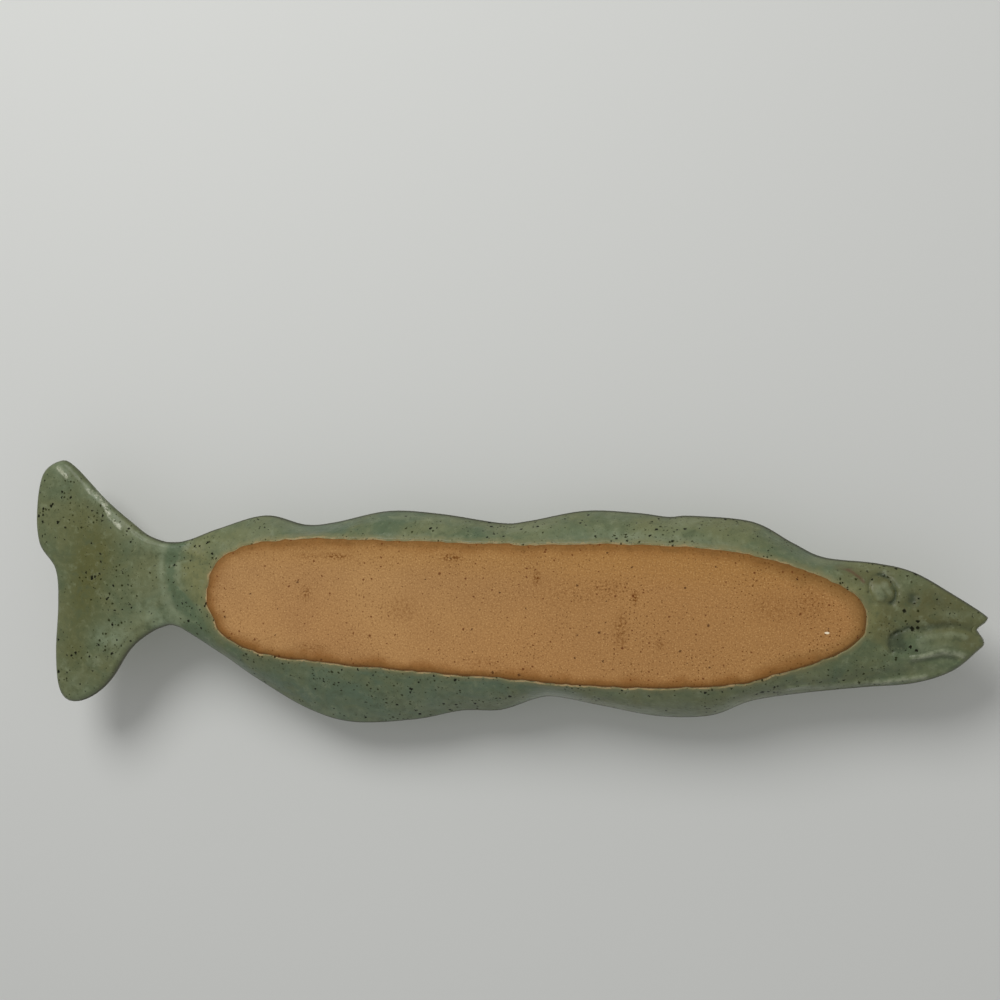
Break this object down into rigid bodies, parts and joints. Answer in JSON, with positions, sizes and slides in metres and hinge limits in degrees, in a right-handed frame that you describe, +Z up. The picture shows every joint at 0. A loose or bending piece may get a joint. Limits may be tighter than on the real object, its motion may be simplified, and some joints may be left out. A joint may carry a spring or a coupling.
{
  "type": "fish shaped platter",
  "caption": "Long hand-built stoneware serving platter in the shape of a fish, green glazed, with a bare oval foot underneath.",
  "frame": {"origin": "centre of the bare oval foot, on the flat face that the platter rests on", "axes": "+X from the foot towards the tail, +Y towards the fish's back, +Z up out of the dish, square to the foot"},
  "size_m": [0.599, 0.1589, 0.0296],
  "materials": {
    "bare_stoneware": "unglazed, fine grained and speckled",
    "green_glaze": "semi-matt green glaze with iron specks",
    "tail_green_glaze": "second coat of the same glaze, darker and greener"
  },
  "bodies": {
    "root": {"stoneware_slab": "bare_stoneware", "body_glaze": "green_glaze", "tail_glaze": "tail_green_glaze"}
  },
  "joints": []
}
